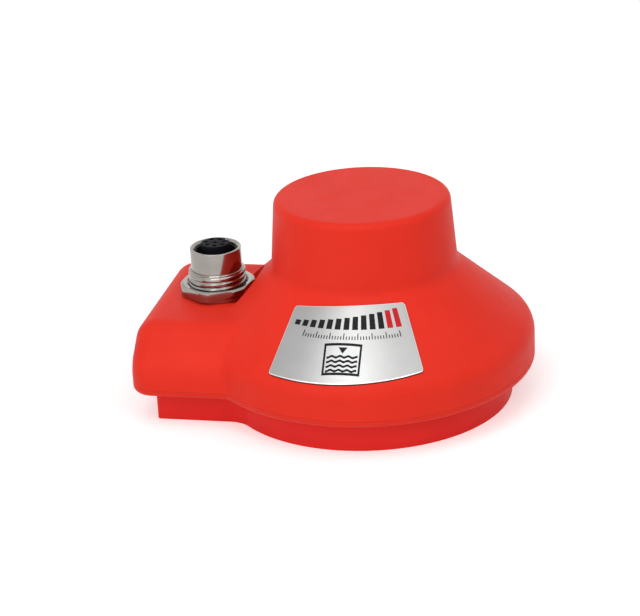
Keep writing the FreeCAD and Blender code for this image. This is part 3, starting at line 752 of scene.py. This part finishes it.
def build_receptacle(plating, painted_shade_plating):
    """Shell with its threads, painted shade on the plating inside, and nut."""
    shell = build_turned("threaded_shell", shell_rings, plating, shell_sharp_angle)
    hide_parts("connector_shell")
    shell.data.materials.append(painted_shade_plating)
    # Faces inside the socket, below its lead-in, take the nickel darkened as painted shade.
    for face in shell.data.polygons:
        inside = math.hypot(face.center.x - plug_x, face.center.y) < mouth_radius
        face.material_index = int(inside and face.center.z < barrel_top - bore_lead)
    nut = build_turned("bevelled_nut", nut_rings, plating, nut_sharp_angle)
    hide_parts("connector_nut")


def plan_arc(middle, radius, start, end, steps):
    """Points on an arc seen from above."""
    turns = [start + (end - start) * i / steps for i in range(steps + 1)]
    return [middle + Vector((math.cos(turn), math.sin(turn))) * radius for turn in turns]


def label_half_edge(middle, bow, half, outward, inset):
    """Half of a bowed edge of the label and its rounded corner.

    Outward is 1 for the foot edge and -1 for the head edge.
    """
    side_start = Vector((label_head_middle - label_head_bow, label_head_half))
    side_end = Vector((label_foot_middle - label_foot_bow, label_foot_half))
    along = (side_end - side_start).normalized()
    inward = Vector((along.y, -along.x))
    bend = (half ** 2 + bow ** 2) / (2 * bow)
    centre = Vector((middle - bend, 0))
    start = side_start + inward * label_corner - centre
    reach = bend - outward * label_corner
    shift = math.sqrt(start.dot(along) ** 2 - start.length_squared + reach ** 2) - start.dot(along)
    corner_centre = centre + start + along * shift
    turn = math.atan2(corner_centre.y, corner_centre.x - centre.x)
    corner_turn = turn if outward > 0 else turn + math.pi
    side_turn = math.atan2(-inward.y, -inward.x)
    points = plan_arc(centre, bend - outward * inset, 0, turn, label_steps)
    corner = plan_arc(corner_centre, label_corner - inset, corner_turn, side_turn, round_steps)
    return points + corner[1:]


def label_edge(skin, middle, bow, half, outward, inset, lift):
    """One bowed edge of the label from side to side, lifted off the slope."""
    points = label_half_edge(middle, bow, half, outward, inset)
    points = [Vector((x, -y)) for x, y in reversed(points[1:])] + points
    pivot = Vector(((label_head_middle + label_foot_middle) / 2, 0))
    edge = []
    for point in points:
        tilted = pivot + Matrix.Rotation(label_tilt, 2) @ (point - pivot)
        place = Matrix.Rotation(label_turn, 2) @ tilted
        level = shoulder_level + (cover_radius - place.length) * math.tan(shoulder_slope)
        edge.append(skin.verts.new((*place, level + lift / math.cos(shoulder_slope))))
    return edge


def build_label():
    """Label plate: a foil whose rolled edge is lightened as a painted highlight, over a wall darkened
    as painted shade.
    """
    skin = bmesh.new()
    # From the foot of the wall up over the rolled edge, as (inset, lift) pairs
    sections = [(0, label_under)]
    for inset, lift in arc_points((1, 0), 1, 180, 90):
        sections.append((inset * label_rim_width, label_over - label_rim_depth * (1 - lift)))
    loops = []
    for inset, lift in sections:
        head = label_edge(skin, label_head_middle, label_head_bow, label_head_half, -1, inset, lift)
        foot = label_edge(skin, label_foot_middle, label_foot_bow, label_foot_half, 1, inset, lift)
        loops.append((head, foot))
    for (head, foot), (next_head, next_foot) in zip(loops, loops[1:]):
        join_loops(skin, head + foot[::-1], next_head + next_foot[::-1])
    edge_faces = len(skin.faces)
    wall_faces = edge_faces // (len(loops) - 1)
    for head, foot in (loops[0], loops[-1]):
        for i in range(len(head) - 1):
            skin.faces.new((head[i], head[i + 1], foot[i + 1], foot[i])).smooth = True
    piece = add_piece("label_plate_silver", skin, label_silver())
    piece.data.materials.append(painted_highlight_rim())
    piece.data.materials.append(painted_shade_backing())
    # The rolled edge takes the lightened foil, a painted highlight.
    for face in piece.data.polygons[:edge_faces]:
        face.material_index = 1
    # The wall under the foil takes the painted shade.
    for face in piece.data.polygons[:wall_faces]:
        face.material_index = 2
    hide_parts("label_plate")


def on_slope(radius, angle, lift):
    """Point above the cover's slope, lifted along its normal."""
    level = shoulder_level + (cover_radius - radius) * math.tan(shoulder_slope)
    out = Vector((math.cos(angle), math.sin(angle), 0))
    normal = out * math.sin(shoulder_slope) + Vector((0, 0, math.cos(shoulder_slope)))
    return out * radius + Vector((0, 0, level)) + normal * lift


def close_slab(skin, rows):
    """Faces of a slab from its four-cornered sections."""
    for row, following in zip(rows, rows[1:]):
        for j in range(4):
            k = (j + 1) % 4
            skin.faces.new((row[j], row[k], following[k], following[j]))
    skin.faces.new(rows[0])
    skin.faces.new(rows[-1])


def print_bar(skin, near, far, start, end):
    """Thin slab between two radii and two angles."""
    steps = max(math.ceil((end - start) / step_angle), 1)
    corners = [(near, print_under), (far, print_under), (far, print_over), (near, print_over)]
    rows = []
    for i in range(steps + 1):
        angle = start + (end - start) * i / steps
        rows.append([skin.verts.new(on_slope(radius, angle, lift)) for radius, lift in corners])
    close_slab(skin, rows)


def print_bars(skin, indices):
    """Upright bars that grow from left to right."""
    pitch = (bar_end - bar_start) / (bar_count - 1 + bar_share)
    for i in indices:
        height = bar_least + (bar_most - bar_least) * i / (bar_count - 1)
        start = bar_start + pitch * i
        print_bar(skin, bar_foot - height, bar_foot, start, start + pitch * bar_share)


def print_ticks(skin):
    """Fine scale below the bars."""
    pitch = (tick_end - tick_start) / (tick_count - 1 + tick_share)
    for i in range(tick_count):
        height = tick_height if i % long_tick_every else long_tick_height
        start = tick_start + pitch * i
        print_bar(skin, tick_foot - height, tick_foot, start, start + pitch * tick_share)


def on_sign(reach, across, lift):
    """Point of the tank sign, by its reach from the axis and its place across the label."""
    return on_slope(math.hypot(reach, across), tank_turn + math.atan2(across, reach), lift)


def sign_strip(skin, near, far, start, end):
    """Slab of the tank sign between two places across; near and far give its reach at a place."""
    steps = max(math.ceil((end - start) / field_step), 1)
    rows = []
    for i in range(steps + 1):
        across = start + (end - start) * i / steps
        corners = [(near(across), print_under), (far(across), print_under)]
        corners += [(far(across), print_over), (near(across), print_over)]
        rows.append([skin.verts.new(on_sign(reach, across, lift)) for reach, lift in corners])
    close_slab(skin, rows)


def sign_bar(skin, near, far, start, end):
    """Slab of the tank sign with straight sides."""
    sign_strip(skin, lambda across: near, lambda across: far, start, end)


def print_tank(skin):
    """Sign of a tank: a frame, waves below and a level mark above them."""
    half, stroke = tank_half_width, tank_stroke
    sign_bar(skin, tank_near, tank_near + stroke, -half, half)
    sign_bar(skin, tank_far - stroke, tank_far, -half, half)
    sign_bar(skin, tank_near + stroke, tank_far - stroke, -half, stroke - half)
    sign_bar(skin, tank_near + stroke, tank_far - stroke, half - stroke, half)
    reach = half - wave_margin
    for i in range(wave_count):
        crest = wave_near + wave_gap * i
        sign_strip(skin, wave(crest), wave(crest + wave_thick), -reach, reach)
    for side in (1, -1):
        ends = sorted((side * mark_half_width, 0))
        sign_strip(skin, lambda across: mark_near, mark_edge, *ends)


def mark_edge(across):
    """Reach of the level mark's two slanting sides, a little blunt at its corners."""
    slope = (mark_tip - mark_near) / mark_half_width
    return mark_tip + mark_blunt - slope * abs(across)


def wave(middle):
    """Reach of a wavy line across the sign."""
    return lambda across: middle + wave_height * math.sin(2 * math.pi * across / wave_length)


def build_print():
    """The label's generic print: growing bars, a scale and the sign of a tank."""
    black = bmesh.new()
    print_bars(black, range(bar_count - red_bars))
    print_ticks(black)
    print_tank(black)
    black_ink = ink("ink_black", (0.006, 0.006, 0.007), (0.012, 0.012, 0.013))
    add_piece("label_print_black", black, black_ink)
    red = bmesh.new()
    print_bars(red, range(bar_count - red_bars, bar_count))
    red_ink = ink("ink_red", (0.55, 0.015, 0.02), (0.63, 0.02, 0.025))
    add_piece("label_print_red", red, red_ink)


def dress_nodes(plating):
    """A material for every CAD node that isn't replaced."""
    dress(cover_red(), "upper_housing")
    dress(base_red(), "base_housing")
    dress(seal_rubber(), "housing_gasket", "connector_seal")
    dress(screw_steel(), "base_screws", "board_screws", "horn_screws", "radar_screws")
    dress(pad_foam(), "adhesive_pad")
    dress(plating, "connector_washer")
    dress(insert_black(), "connector_insert")
    dress(contact_gold(), "connector_contacts", "header_pins")
    dress(wire_skin(), "lead_wires")
    dress(plug_white(), "lead_plug", "board_header", "flex_sockets")
    dress(board_green(), "main_board", "radar_board")
    dress(capacitor_can(), "board_capacitor")
    dress(chip_black(), "board_chips", "radar_chip")
    dress(coil_ferrite(), "power_coil")
    dress(horn_metal(), "radar_horn")
    dress(lens_white(), "horn_lens")
    dress(shield_tin(), "radar_shield")
    dress(flex_amber(), "flex_lead")


build_camera()
build_world()
build_lamp("key", key_place, key_side, key_radiance)
build_lamp("top", top_place, top_side, top_radiance)
build_lamp("fill", fill_place, fill_side, fill_radiance)
build_lamp("glint", glint_place, glint_side, glint_radiance)
build_lamp("rim", rim_place, rim_side, rim_radiance)
build_floor()
nickel_finish = nickel()
dress_nodes(nickel_finish)
build_receptacle(nickel_finish, painted_shade_nickel())
build_label()
build_print()
soften_edges("connector_washer", washer_edge)
soften_edges("connector_insert", insert_edge)
bpy.context.scene.view_settings.view_transform = "Standard"
